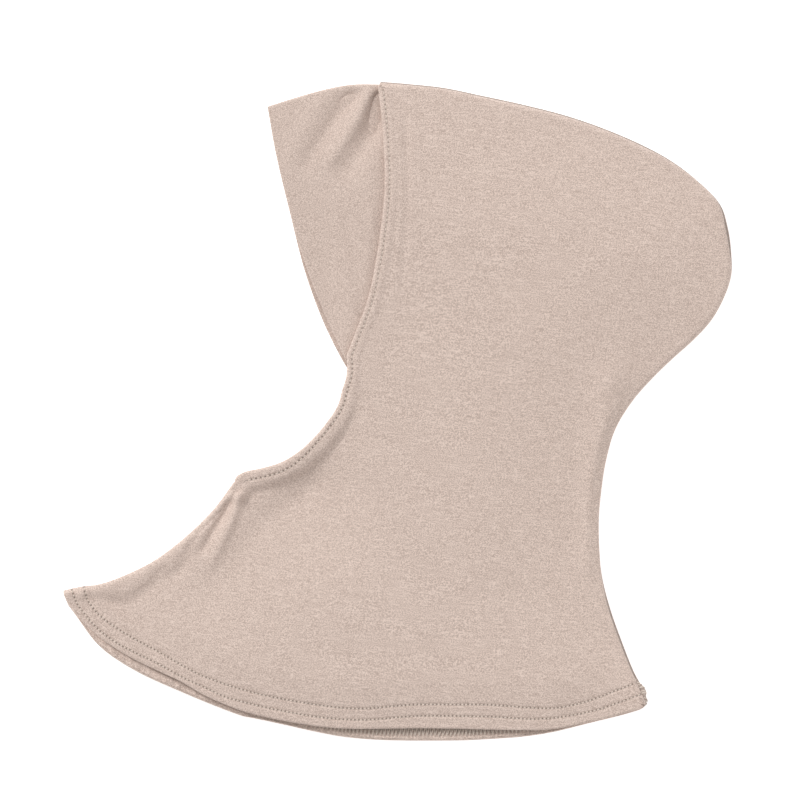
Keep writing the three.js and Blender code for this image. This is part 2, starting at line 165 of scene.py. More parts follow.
BAND_FOLDS = [
    (((373, 86), (357, 121), (332, 160)), 2.4, 1.4, 3.4, 3.0),
    (((386, 98), (374, 128), (350, 167)), -4.2, -2.0, 6.0, 6.0),
    (((364, 90), (340, 126), (318, 160)), 1.0, 0.6, 4.5, 4.5),
    (((352, 94), (326, 134), (307, 164)), -2.6, -1.4, 4.6, 5.0),
    (((322, 100), (302, 134), (288, 168)), 0.8, 0.3, 5.0, 5.0),
    (((380, 116), (380, 128), (381, 142)), 1.6, 0.5, 1.2, 1.2),
    (((348, 222), (356, 270), (360, 314)), -0.8, -0.5, 4.0, 4.0),
    (((371, 214), (374, 228)), 0.7, 0.4, 1.6, 1.6),
]
# How far the near layer sinks and the far one lifts at the hem, and over what distance
HEM_SINK, HEM_SINK_WIDTH = 4.0 * MM, 28 * MM
FAR_LIFT, FAR_LIFT_WIDTH = 0.9 * MM, 9 * MM
# Way in from the ends of the hem, over which these two build up
CORNER_REACH = 25 * MM
# Least height of the near layer over the turned hem and elsewhere, and how softly it is held
LEAST_HEM, LEAST, LEAST_SOFT = 4.6 * MM, 2.4 * MM, 0.7 * MM
# Part of the face edge round the chin, by the way along it, where its relief is strongest
CHIN_PART = 55 * MM, 95 * MM


# Make-up of the cap, as in its frame but for the longer slope at the throat

BAND_WALL = 1.2 * MM
BAND_BIGHT = 0.4 * MM
BAND_EASE = 0.6 * MM
WALL = 1.0 * MM
FACE_TURN = 6.5 * MM
FACE_TURN_STOP = 10 * MM
HEM_TURN = 14 * MM
SEAM_WIDTH = 6 * MM
BAND_TUCK = 9 * MM
BAND_ROLL = BAND_BIGHT + BAND_WALL / 2
ROLL = BAND_BIGHT + BAND_WALL + BAND_EASE + WALL / 2
ROLL_HEIGHT = WALL / 2 + ROLL
ALLOWANCE_HALF = 0.6 * MM
# Room between the layers at the neck and the head, from where to where it grows, and at the brow
NECK_ROOM, HEAD_ROOM, BROW_ROOM = 8.5 * MM, 12 * MM, 6 * MM
NECK_LEVEL, HEAD_LEVEL = -0.18125, 0
CROWN_SLOPE, THROAT_SLOPE = 80 * MM, 90 * MM

# Steps of the hood's lattice
HEM_STEPS, NECK_STEPS, CHIN_STEPS, CORNER_STEPS, HEAD_STEPS, TOP_STEPS = 24, 60, 8, 12, 108, 8
EDGE_STEPS, NEAR_STEPS, FAR_STEPS, SEAM_STEPS, BEND_STEPS = 9, 96, 52, 4, 10
BAND_STEPS, BAND_COLUMNS, BAND_BEND_STEPS = 90, 54, 8
CROWDING = 1.25

# Loops of thread inside the hem: length of one, and where its foot and head lie above the edge
LOOP, LOOP_FOOT, LOOP_HEAD = 2.15 * MM, 2.5 * MM, 9.0 * MM

# Length of a stitch on the face edge and on the hem
FACE_STITCH, HEM_STITCH = 2.6 * MM, 2.15 * MM

# Pitch of the knit, and colour of the painted shade in needle holes, along the back seam and between
# the hem's loops
WALE, COURSE = 0.62 * MM, 0.5 * MM
PAINTED_SHADE_COLOUR = (0.11, 0.075, 0.055, 1)

# Camera: its height, the height that it is set for, its sensor in mm and the breadth that it shows
CAMERA_HEIGHT, VIEW_HEIGHT, SENSOR, VIEW_BREADTH = 5.0, 0.006, 36.0, 0.44
# Floor: half its side, and how far it lies under the cap
FLOOR_REACH, FLOOR_DROP = 3, 0.0003


# Sums

def smooth(value, low, high):
    """0 below low, 1 above high and an even slope between."""
    share = np.clip((value - low) / (high - low), 0, 1)
    return share * share * (3 - 2 * share)


def blend(low, high, share):
    return low + (high - low) * share


def bell(value, width):
    """1 where value is 0, falling off over a width on both sides."""
    return np.exp(-((value / width) ** 2))


def unit(vectors):
    """Vectors brought to a length of 1."""
    return vectors / np.maximum(np.linalg.norm(vectors, axis=-1, keepdims=True), 1e-12)


def curve(points, at):
    """Points of a smooth curve through points. at counts them from 0."""
    ends = np.vstack((2 * points[0] - points[1], points, 2 * points[-1] - points[-2]))
    at = np.clip(np.asarray(at, float), 0, len(points) - 1)
    first = np.minimum(at.astype(int), len(points) - 2)
    share = (at - first)[..., None]
    p0, p1, p2, p3 = (ends[first + step] for step in range(4))
    d0, d1, d2 = (
        np.sqrt(np.linalg.norm(b - a, axis=-1, keepdims=True))
        for a, b in ((p0, p1), (p1, p2), (p2, p3))
    )
    out = (p1 - p0) / d0 - (p2 - p0) / (d0 + d1) + (p2 - p1) / d1
    into = (p2 - p1) / d1 - (p3 - p1) / (d1 + d2) + (p3 - p2) / d2
    out, into = out * d1, into * d1
    square = -3 * p1 + 3 * p2 - 2 * out - into
    cube = 2 * p1 - 2 * p2 + out + into
    return p1 + share * (out + share * (square + share * cube))


def left_of(points, at):
    """Unit vectors to the left of the curve through points."""
    step = 1e-3
    run = unit(curve(points, np.asarray(at) + step) - curve(points, np.asarray(at) - step))
    return np.stack((-run[..., 1], run[..., 0]), axis=-1)


def measure(line, points):
    """Distance from points to a line, and how far along the line the nearest place is."""
    nearest = np.full(points.shape[:-1], np.inf)
    along = np.zeros(points.shape[:-1])
    passed = 0.0
    for start, end in zip(line[:-1], line[1:]):
        run = end - start
        length = np.linalg.norm(run)
        share = np.clip((points - start) @ run / length**2, 0, 1)
        away = np.linalg.norm(points - start - share[..., None] * run, axis=-1)
        closer = away < nearest
        nearest = np.where(closer, away, nearest)
        along = np.where(closer, passed + share * length, along)
        passed += length
    return nearest, along


def even_places(points, shares):
    """Places on the curve through points, at shares of its length."""
    dense = curve(points, np.linspace(0, len(points) - 1, 40 * len(points)))
    return places_on(dense, shares * travelled(dense)[-1])


def travelled(points):
    """Length of a line of points up to each of them."""
    return np.concatenate(([0], np.cumsum(np.linalg.norm(np.diff(points, axis=0), axis=1))))


def places_on(line, at):
    """Places on a line of points, at lengths along it."""
    lengths = travelled(line)
    return np.stack([np.interp(at, lengths, line[:, axis]) for axis in (0, 1)], axis=-1)


def ripple(points, size, seed):
    """Smooth noise between about -1 and 1, over plan points."""
    flat = points.reshape(-1, points.shape[-1])
    values = [noise.noise(Vector((x / size[0], y / size[1], seed))) for x, y in flat[:, :2]]
    return 2 * np.array(values).reshape(points.shape[:-1])


def folds(points, table):
    """Height that a table of folds adds at plan points."""
    height = np.zeros(points.shape[:-1])
    for spots, first, last, right, left in table:
        line = plan(*spots)
        away, along = measure(line, points)
        rise = blend(first, last, along / travelled(line)[-1]) * MM
        spread = blend(right, left, 0.5 + 0.5 * side_of(line, points, along)) * MM
        height += rise * bell(away, spread)
    return height


# Outline of the hood

def table_at(table, station):
    """Where a station comes in a table of stations and places, counted from its first row."""
    return np.interp(station, table[0], np.arange(len(table[0])))


def on_front(sample, station):
    """Sample of the throat fold below the chin, and of the face edge above it."""
    station = np.asarray(station, float)
    throat, face = (sample(table[1], table_at(table, station)) for table in (THROAT, FACE))
    return np.where((station <= CHIN)[..., None], throat, face)


def front_at(station):
    return on_front(curve, station)


def front_outward(station):
    return on_front(left_of, station)


def back_at(station):
    return curve(BACK[1], table_at(BACK, station))


def seam_line(station):
    outward = -left_of(BACK[1], table_at(BACK, station))
    return back_at(station) - outward * (ROLL + WALL / 2), outward


def stations_in(length, reach, station):
    """Share of a section that a length takes next to a station."""
    return length / np.linalg.norm(reach(station + 1) - reach(station))


DENSE = np.linspace(0, BROW, 260)
CROWN_LINE = seam_line(DENSE)[0]
THROAT_STATIONS = np.linspace(0, CHIN, 40)
THROAT_LINE = front_at(THROAT_STATIONS) - front_outward(THROAT_STATIONS) * (ROLL + WALL / 2)
FACE_LINE = front_at(np.linspace(CHIN, BROW, 200))
HEM_LINE = np.vstack((THROAT_LINE[0], HEM_NEAR, CROWN_LINE[0]))

# Top fold of the brow band, from its tip to the end that is tucked under the crown
BEFORE_TUCK = np.linalg.norm(CROWN_LINE - CROWN_LINE[-1], axis=1) >= BAND_TUCK
TUCK_STATION = DENSE[np.nonzero(BEFORE_TUCK)[0][-1]]
BAND_INSET = BAND_ROLL + BAND_WALL / 2
BAND_TOP = np.vstack((
    BAND_NEAR[0] + (BAND_INSET, -BAND_INSET),
    BAND_ARCH + (0, -BAND_INSET),
    CROWN_LINE[-1],
    seam_line(TUCK_STATION)[0],
))
BAND_SPANS = len(BAND_TOP) - 1
BAND_TOP_LINE = curve(BAND_TOP, np.linspace(0, BAND_SPANS, 40))
UPPER_LINE = np.vstack((CROWN_LINE, BAND_TOP_LINE[::-1]))


# Heights of the near layer

def near_swell(points):
    """Height of the middle of the near layer's cloth, without its folds."""
    from_crown = measure(UPPER_LINE, points)[0]
    from_throat = measure(THROAT_LINE, points)[0]
    level = smooth(points[..., 1], NECK_LEVEL, HEAD_LEVEL)
    room = blend(NECK_ROOM, HEAD_ROOM, level) + WALL
    rise = np.sin(np.pi / 2 * np.minimum(1, from_crown / CROWN_SLOPE))
    rise *= np.sin(np.pi / 2 * np.minimum(1, from_throat / THROAT_SLOPE))
    return WALL / 2 + 2 * ROLL + (room - 2 * ROLL) * rise


def row_inset(along):
    """How far the row of stitches lies inside the face edge, by the way along it from the chin."""
    return (3.05 + 1.9 * (1 - smooth(along, 24 * MM, 58 * MM))) * MM


def near_relief(points):
    """Folds, turned edges and small unevenness of the near layer."""
    from_edge = np.minimum(measure(UPPER_LINE, points)[0], measure(THROAT_LINE, points)[0])
    height = folds(points, HOOD_FOLDS)
    height += 0.22 * MM * ripple(points, (0.06, 0.04), 3.1)
    height *= np.minimum(1, from_edge / (3 * MM))
    face, along = measure(FACE_LINE, points)
    low = 1 - smooth(along, *CHIN_PART)
    # The edge is raised over its turned ply, most at the chin, and a valley follows it
    from_roll = face - 2.3 * MM * low
    height += (0.5 + 1.2 * low) * MM * (1 - smooth(from_roll, 5.0 * MM, (8.6 + 2 * low) * MM))
    height += 0.7 * (1 - low) * MM * (1 - smooth(face, 8 * MM, 24 * MM))
    valley = from_roll - 11 * MM
    reach = np.where(valley > 0, 4.6 + 10 * low, 4.6) * MM
    height -= (0.2 + 1.2 * low) * MM * bell(valley, reach)
    # Groove of the row of stitches, and the roundness of the very edge
    height -= 0.28 * MM * bell(face - row_inset(along), 0.8 * MM)
    height -= 0.5 * MM * (1 - smooth(face, 0.6 * MM, 2.0 * MM))
    hem = measure(HEM_LINE, points)[0]
    sink = HEM_SINK * (1 - smooth(hem, 0, HEM_SINK_WIDTH))
    height -= sink * np.minimum(1, from_edge / CORNER_REACH)
    return height + hem_relief(points)


def hem_relief(points):
    """Grooves of the twin rows and the small puckers between them."""
    lower, upper = (measure(row, points)[0] for row in HEM_ROWS)
    groove = bell(lower, 0.9 * MM) + bell(upper, 0.9 * MM)
    turned = bell(np.minimum(lower, upper), 5 * MM)
    front = 1 - smooth(points[..., 0], -0.15, 0.05)
    pucker = ripple(points @ ((0.8, 0.6), (-0.6, 0.8)), (0.009, 0.0035), 8.4)
    return turned * (0.35 + (0.1 + 0.22 * front) * pucker) * MM - 0.3 * MM * groove


def near_height(points):
    """Height of the middle of the near layer's cloth, which never sinks onto the far layer."""
    height = near_swell(points) + near_relief(points)
    hem = measure(HEM_LINE, points)[0]
    least = blend(LEAST_HEM, LEAST, smooth(hem, HEM_TURN, HEM_TURN + 8 * MM))
    return (height + least + np.sqrt((height - least) ** 2 + LEAST_SOFT**2)) / 2


def far_height(points):
    """Height of the middle of the far layer's cloth, which lies on the surface."""
    edge = measure(HEM_FAR, points)[0]
    inside = np.minimum(measure(THROAT_LINE, points)[0], measure(CROWN_LINE, points)[0])
    lift = FAR_LIFT * (1 - smooth(edge, 0, FAR_LIFT_WIDTH))
    return WALL / 2 + lift * np.minimum(1, inside / CORNER_REACH)


def surface(height, points):
    """Places on a height and unit normals there."""
    step = 0.4 * MM
    slopes = [
        (height(points + shift) - height(points - shift)) / (2 * step)
        for shift in (np.array((step, 0)), np.array((0, step)))
    ]
    normals = unit(np.stack((-slopes[0], -slopes[1], np.ones_like(slopes[0])), axis=-1))
    return np.column_stack((points, height(points))), normals


# Meshes from lattices

def lattice_normals(grid, there):
    """Unit normals of a lattice. there tells which of its cells are cloth."""
    sums = np.zeros_like(grid)
    right = np.roll(grid, -1, axis=1)
    cells = unit(np.cross(right[1:] - grid[:-1], grid[1:] - right[:-1])) * there[..., None]
    for part in (cells, np.roll(cells, 1, axis=1)):
        sums[:-1] += part
        sums[1:] += part
    return unit(sums)


def free_edges(there):
    """Edges of the cloth as pairs of (row, column), with the cloth on their left."""
    rows, columns = there.shape
    edges = []
    for row, column in zip(*np.nonzero(there)):
        after = (column + 1) % columns
        if row == 0 or not there[row - 1, column]:
            edges.append(((row, column), (row, after)))
        if not there[row, after]:
            edges.append(((row, after), (row + 1, after)))
        if row + 1 == rows or not there[row + 1, column]:
            edges.append(((row + 1, after), (row + 1, column)))
        if not there[row, column - 1]:
            edges.append(((row + 1, column), (row, column)))
    return edges


def cloth_mesh(name, grid, normals, there, half, fold=0.0, extra=None):
    """A cloth of two faces half a thickness each side of a lattice, closed along its edges.

    With fold, the cloth turns inwards round its edges on that radius. Without, its edges are
    round. extra holds values for the stitch attribute, three to a point of the lattice.
    """
    number = np.arange(grid.shape[0] * grid.shape[1]).reshape(grid.shape[:2])
    right = np.roll(number, -1, axis=1)
    quads = np.stack((number[:-1], right[:-1], right[1:], number[1:]), axis=-1)[there]
    count = number.size
    points = [(grid + normals * half).reshape(-1, 3), (grid - normals * half).reshape(-1, 3)]
    faces = [quads, quads[:, ::-1] + count]
    edges = free_edges(there)
    starts = np.array([number[a] for a, _ in edges])
    ends = np.array([number[b] for _, b in edges])
    flat, up = grid.reshape(-1, 3), normals.reshape(-1, 3)
    outward = np.zeros((count, 3))
    side = unit(np.cross(flat[ends] - flat[starts], up[starts]))
    np.add.at(outward, starts, side)
    np.add.at(outward, ends, side)
    rim = np.unique(np.concatenate((starts, ends)))
    out = unit(outward[rim])
    place = np.zeros(count, int)
    place[rim] = np.arange(len(rim))
    starts_in, ends_in = place[starts], place[ends]

    def add_ring(places):
        """Adds a ring of points round the edges, and gives their numbers."""
        points.append(places)
        return 2 * count + (len(points) - 3) * len(rim) + np.arange(len(rim))

    def join(low, high):
        """Adds the faces between two rings."""
        corners = low[ends_in], low[starts_in], high[starts_in], high[ends_in]
        faces.append(np.stack(corners, 1))

    outer, inner = rim, rim + count
    for angle in np.linspace(0, math.pi, 7)[1 : 7 if fold else 6]:
        centre = flat[rim] - up[rim] * fold
        arm = out * math.sin(angle) + up[rim] * math.cos(angle)
        last, outer = outer, add_ring(centre + arm * (fold + half))
        join(last, outer)
        if fold:
            last, inner = inner, add_ring(centre + arm * (fold - half))
            join(inner, last)
    join(outer, inner)
    made = make_mesh(name, np.vstack(points), np.vstack(faces))
    if extra is not None:
        extra = extra.reshape(-1, 3)
        values = np.concatenate([extra] * 2 + [extra[rim]] * (len(points) - 2))
        attribute = made.data.attributes.new("stitch", "FLOAT_VECTOR", "POINT")
        attribute.data.foreach_set("vector", np.asarray(values, np.float32).ravel())
    drop_loose(made)
    return made


def make_mesh(name, points, faces):
    mesh = bpy.data.meshes.new(name)
    mesh.vertices.add(len(points))
    mesh.vertices.foreach_set("co", np.asarray(points, np.float32).ravel())
    mesh.loops.add(faces.size)
    mesh.loops.foreach_set("vertex_index", faces.ravel().astype(np.int32))
    mesh.polygons.add(len(faces))
    first_corners = np.arange(0, faces.size, faces.shape[1], dtype=np.int32)
    mesh.polygons.foreach_set("loop_start", first_corners)
    mesh.update(calc_edges=True)
    mesh.validate()
    mesh.shade_smooth()
    made = bpy.data.objects.new(name, mesh)
    bpy.context.scene.collection.objects.link(made)
    return made


def drop_loose(piece):
    """Takes out the points that no face uses."""
    work = bmesh.new()
    work.from_mesh(piece.data)
    bmesh.ops.delete(work, geom=[v for v in work.verts if not v.link_faces], context="VERTS")
    work.to_mesh(piece.data)
    work.free()


def thread_mesh(name, paths, radius):
    """Six-sided threads along paths, each an array of points, closed at both ends."""
    points, faces = [], []
    total, sides = 0, 6
    turn = np.linspace(0, 2 * math.pi, sides, endpoint=False)
    for path in paths:
        run = unit(np.gradient(path, axis=0))
        side = unit(np.cross(run, (0.31, 0.17, 0.94)))
        over = np.cross(side, run)
        count = len(path)
        girth = np.full(count, radius)
        girth[[0, -1]] = radius * 0.45
        arms = side[:, None] * np.cos(turn)[:, None] + over[:, None] * np.sin(turn)[:, None]
        rings = path[:, None] + girth[:, None, None] * arms
        points.append(rings.reshape(-1, 3))
        number = total + np.arange(count * sides).reshape(count, sides)
        after = np.roll(number, -1, axis=1)
        faces.append(np.stack((number[:-1], after[:-1], after[1:], number[1:]), -1).reshape(-1, 4))
        for cap in (number[0][::-1], number[-1]):
            faces.append(cap[np.array([(0, 1, 2, 3), (0, 3, 4, 5)])])
        total += count * sides
    return make_mesh(name, np.vstack(points), np.vstack(faces))


# The hood's lattice

@functools.lru_cache
def hood_lattice(half, fold):
    """Middle of the hood's cloth: near layer, seam bend, far layer and throat bend."""
    inset = fold + half
    hem_start = stations_in(inset, back_at, 0)
    hem_top = stations_in(HEM_TURN, back_at, 0)
    turn_foot = CHIN - stations_in(FACE_TURN, front_at, CHIN - 1)
    corner = CHIN + 0.5
    turn_head = BROW - stations_in(FACE_TURN_STOP, front_at, BROW - 1)
    last = BROW - stations_in(inset, front_at, BROW - 1)
    ends = hem_start, hem_top, turn_foot, CHIN, corner, turn_head
    counts = HEM_STEPS, NECK_STEPS, CHIN_STEPS, CORNER_STEPS, HEAD_STEPS
    stations = [
        np.linspace(start, end, count, endpoint=False)
        for start, end, count in zip(ends, ends[1:], counts)
    ]
    stations = np.concatenate((*stations, np.linspace(turn_head, last, TOP_STEPS)))
    out_front = front_outward(stations)
    inward = blend(inset, ROLL + WALL / 2, 1 - smooth(stations, CHIN - 0.35, CHIN - 0.02))
    front = front_at(stations) - out_front * inward[:, None]
    back, out_back = seam_line(stations)
    breadth = np.linalg.norm(back - front, axis=1)
    run = (back - front) / breadth[:, None]
    slant = np.maximum(np.abs((run * out_front).sum(1)), 0.4)
    turn = np.minimum(FACE_TURN / slant / breadth, 0.3)
    seam = np.minimum(SEAM_WIDTH / breadth, 0.3)
    dip = np.interp(stations, np.arange(len(DIP)), DIP)
    corners = front_at(0) - front_outward(0) * (ROLL + WALL / 2), seam_line(0)[0]

    def layer(steps, hem):
        """Lattice of one layer, whose first rows follow the hem. It keeps inside the back seam."""
        spread = np.linspace(0, 1, steps, endpoint=False) ** CROWDING
        shares = np.hstack((
            np.linspace(np.zeros_like(turn), turn, EDGE_STEPS, endpoint=False, axis=1),
            turn[:, None] + (1 - seam - turn)[:, None] * spread,
            np.linspace(1 - seam, np.ones_like(seam), SEAM_STEPS + 1, axis=1),
        ))
        points = front[:, None] + (back - front)[:, None] * shares[..., None]
        chord = corners[0] + (corners[1] - corners[0]) * shares[..., None]
        edge = even_places(np.vstack((corners[0], hem, corners[1])), shares)
        shift = (edge - chord) * dip[:, None, None]
        past = (shift * out_back[:, None]).sum(-1) * smooth(shares, 0.93, 0.985)
        past *= smooth(stations, 0.05, 0.3)[:, None]
        return points + shift - out_back[:, None] * np.maximum(0, past)[..., None]

    def bend(centre, outward, angles, width, peek=0.0):
        """Round bend between the layers. peek shifts its upper part in and its lower part out."""
        reach = (width - WALL / 2)[:, None] * (1 - 0.16 * bell(angles, 0.2))
        reach = reach + np.where(angles < 0, 0.2, -1)[None] * np.reshape(peek, (-1, 1))
        flat = centre[:, None] + outward[:, None] * (reach * np.cos(angles))[..., None]
        up = np.broadcast_to(ROLL_HEIGHT + ROLL * np.sin(angles), flat.shape[:2])
        return np.dstack((flat, up))

    near = layer(NEAR_STEPS, HEM_NEAR)
    far = layer(FAR_STEPS, HEM_FAR)
    near_grid = np.dstack((near, near_height(near)))
    far_grid = np.dstack((far, far_height(far)))[:, ::-1]
    down = np.linspace(math.pi / 2, -math.pi / 2, BEND_STEPS + 1)[1:-1]
    # The lower half of the bend shows behind the head, above the hem and at the crown
    peek = 1.2 * bell(stations - 8.9, 0.6)
    peek += 0.9 * (1 - smooth(stations, 1.4, 2.3)) + 0.5 * (1 - smooth(stations, 0.25, 0.45))
    peek += 0.6 * smooth(stations, 9.6, 10.6)
    peek *= MM
    whole = np.full(len(stations), ROLL + WALL / 2)
    grid = np.hstack((
        near_grid, bend(back, out_back, down, whole, peek),
        far_grid, bend(front, out_front, -down, inward),
    ))
    near_end = near.shape[1] - 1
    far_start = near_end + BEND_STEPS
    far_end = far_start + far.shape[1] - 1
    foot_row = HEM_STEPS + NECK_STEPS
    chin_row = foot_row + CHIN_STEPS
    head_row = chin_row + CORNER_STEPS + HEAD_STEPS
    there = np.ones((len(stations) - 1, grid.shape[1]), bool)
    there[chin_row:, far_end:] = False
    return types.SimpleNamespace(
        grid=grid, there=there, normals=lattice_normals(grid, there), near_end=near_end,
        far_start=far_start, far_end=far_end, foot_row=foot_row, chin_row=chin_row,
        head_row=head_row,
    )


@functools.lru_cache
def stitch_rows():
    """Rows of stitches on the near layer: name, line and length of a stitch."""
    stations = np.linspace(CHIN + 0.22, BROW - 0.05, 200)
    edge = front_at(stations)
    inset = row_inset(measure(FACE_LINE, edge)[1])
    face = edge - front_outward(stations) * inset[:, None]
    shares = np.linspace(0, 1, 700)
    hem = [even_places(line, shares) for line in HEM_ROWS]
    return [("face", face, FACE_STITCH)] + [("hem", line, HEM_STITCH) for line in hem]


def stitch_places(grid, near_end):
    """Stitches along the nearest row, signed distance from it and how strongly its needle holes are
    painted with shade.

    The sunk middle of the back seam counts as one long stitch, so a line of painted shade runs along
    it.
    """
    points = grid[..., :2]
    best = np.full(points.shape[:-1], np.inf)
    along = np.zeros_like(best)
    depth = np.zeros_like(best)
    signed = np.zeros_like(best)
    for name, line, length in stitch_rows():
        away, reached = measure(line, points)
        closer = away < best
        side = np.where(side_of(line, points, reached) > 0, 1, -1)
        best = np.where(closer, away, best)
        signed = np.where(closer, away * np.where(away < 3 * MM, side, 1), signed)
        along = np.where(closer, reached / length, along)
        row_depth = blend(1.0, 0.6, smooth(reached, 60 * MM, 130 * MM)) if name == "face" else 0.95
        depth = np.where(closer, row_depth * (away < 1.7 * MM), depth)
    # Painted shade along the back seam: a dark line in the middle of its bend
    ditch_shade = slice(near_end + BEND_STEPS // 2 - 1, near_end + BEND_STEPS // 2 + 3)
    along[:, ditch_shade] = 0
    signed[:, ditch_shade] = np.array((2.0, 0.0, 0.45, 2.0)) * MM
    depth[:, ditch_shade] = 0.75
    return np.stack((along, signed, depth), axis=-1)


def side_of(line, points, reached):
    """1 for points straight to the left of a line, -1 to the right, by where along it they lie."""
    foot, ahead = (places_on(line, reached + step) for step in (-0.3 * MM, 0.3 * MM))
    run, arm = ahead - foot, points - (foot + ahead) / 2
    across = run[..., 0] * arm[..., 1] - run[..., 1] * arm[..., 0]
    lengths = np.linalg.norm(run, axis=-1) * np.linalg.norm(arm, axis=-1)
    return across / np.maximum(lengths, 1e-12)


def loop_foot(points):
    """Way in from the hem's edge to the loops' feet. The near layer hides them at the front."""
    return LOOP_FOOT + 7 * MM * (1 - smooth(points[..., 0], -0.078, -0.055))


def loop_lean(along):
    """How far a loop inside the hem leans along it between its foot and its head."""
    wave = np.sin(along / (11 * MM)) + np.sin(along / (6.1 * MM) + 1.3)
    return LOOP * (0.75 + 0.35 * wave)


def loop_places(grid, far_start):
    """Loops along the far layer's hem, distance from their middle and how strongly the gaps between
    them are painted with shade.
    """
    points = grid[..., :2]
    line = even_places(HEM_FAR, np.linspace(0, 1, 900))
    away, along = measure(line, points)
    foot = loop_foot(points)
    high = (away - foot) / (LOOP_HEAD - LOOP_FOOT)
    depth = np.zeros_like(away)
    # Painted shade in the gaps between the loops, on the far layer
    depth[:, far_start:] = 0.6
    count = (along - loop_lean(along) * high) / LOOP + 0.5
    return np.stack((count, away - foot - (LOOP_HEAD - LOOP_FOOT) / 2, depth), axis=-1)


def band_lattice():
    """Middle of the brow band: near wing, fold over the top and far wing."""
    shares = np.linspace(0, 1, BAND_COLUMNS + 1)
    top = curve(BAND_TOP, shares * BAND_SPANS)
    top_back = front_at(BROW) - front_outward(BROW) * BAND_TUCK
    top_edge = curve(BAND_NEAR, 0.0)
    arch = top - (top_edge + (top_back - top_edge) * shares[:, None])

    def wing(side, down):
        edges = BAND_NEAR if side == "near" else BAND_FAR
        edge = curve(edges, down * (len(edges) - 1))
        station = blend(BROW, CHEEK, down)
        tucked = front_at(station) - front_outward(station) * BAND_TUCK
        points = edge + (tucked - edge) * shares[:, None] + arch * (1 - down) ** 2
        bare = np.maximum(0, (1 - shares) * np.linalg.norm(tucked - edge) - BAND_TUCK)
        return points, bare

    def height(side, points, bare):
        from_top = measure(BAND_TOP_LINE, points)[0]
        depth = WALL / 2 + BAND_EASE + BAND_WALL / 2 + 1.3 * MM * smooth(from_top, 0, FACE_TURN)
        loose = smooth(bare, FACE_TURN, FACE_TURN + 4 * BAND_TUCK)
        if side == "far":
            return blend(WALL / 2 + depth, BAND_WALL / 2, loose)
        slope = 1 / surface(near_swell, points)[1][:, 2]
        under = near_swell(points) - depth * slope
        crest = BAND_WALL / 2 + 2 * BAND_ROLL
        rise = np.sin(np.pi / 2 * np.minimum(1, from_top / CROWN_SLOPE))
        slack = crest + (BROW_ROOM - 2 * BAND_BIGHT) * rise
        relief = folds(points, BAND_FOLDS) + 0.2 * MM * ripple(points, (0.03, 0.05), 5.7)
        relief *= np.minimum(1, from_top / (5 * MM)) * smooth(bare, 0, 2.5 * MM)
        return blend(under, slack, loose) + relief

    def layer(side, down):
        points, bare = wing(side, down)
        return np.column_stack((points, height(side, points, bare)))

    def over(angle):
        outward = left_of(BAND_TOP, shares * BAND_SPANS)
        bare = wing("near", 0.0)[1]
        middle = (height("near", top, bare) + height("far", top, bare)) / 2
        return np.column_stack((
            top + outward * BAND_ROLL * math.cos(angle), middle + BAND_ROLL * math.sin(angle)
        ))

    downs = np.linspace(0, 1, BAND_STEPS + 1)
    bends = np.linspace(math.pi / 2, -math.pi / 2, BAND_BEND_STEPS + 1)[1:-1]
    grid = np.stack(
        [layer("near", down) for down in downs[::-1]]
        + [over(angle) for angle in bends]
        + [layer("far", down) for down in downs]
    )
    there = np.ones((len(grid) - 1, grid.shape[1]), bool)
    there[:, -1] = False
    return grid, there


# Materials

def feed(tree, socket, value):
    """Links an output to a socket, or sets the value of the socket."""
    if isinstance(value, bpy.types.NodeSocket):
        tree.links.new(value, socket)
    else:
        socket.default_value = value


def add_node(tree, kind, settings=None, **inputs):
    """A node with its settings, and its inputs set or linked by name, with _ for a space."""
    made = tree.nodes.new(kind)
    for key, value in (settings or {}).items():
        setattr(made, key, value)
    for key, value in inputs.items():
        feed(tree, made.inputs[key.replace("_", " ")], value)
    return made


def maths(tree, operation, *values):
    made = add_node(tree, "ShaderNodeMath", {"operation": operation})
    for socket, value in zip(made.inputs, values):
        feed(tree, socket, value)
    return made.outputs[0]


def mixed(tree, share, low, high):
    """Colour between two others."""
    made = add_node(tree, "ShaderNodeMix", {"data_type": "RGBA"})
    for number, value in ((0, share), (6, low), (7, high)):
        feed(tree, made.inputs[number], value)
    return made.outputs[2]


def new_group(name, inputs, outputs):
    """An empty node group with sockets from tables of name and kind."""
    group = bpy.data.node_groups.new(name, "ShaderNodeTree")
    for side, sockets in (("INPUT", inputs), ("OUTPUT", outputs)):
        for label, kind in sockets.items():
            group.interface.new_socket(label, in_out=side, socket_type=f"NodeSocket{kind}")
    given, result = (group.nodes.new(f"NodeGroup{side}") for side in ("Input", "Output"))
    return group, given.outputs, result.inputs


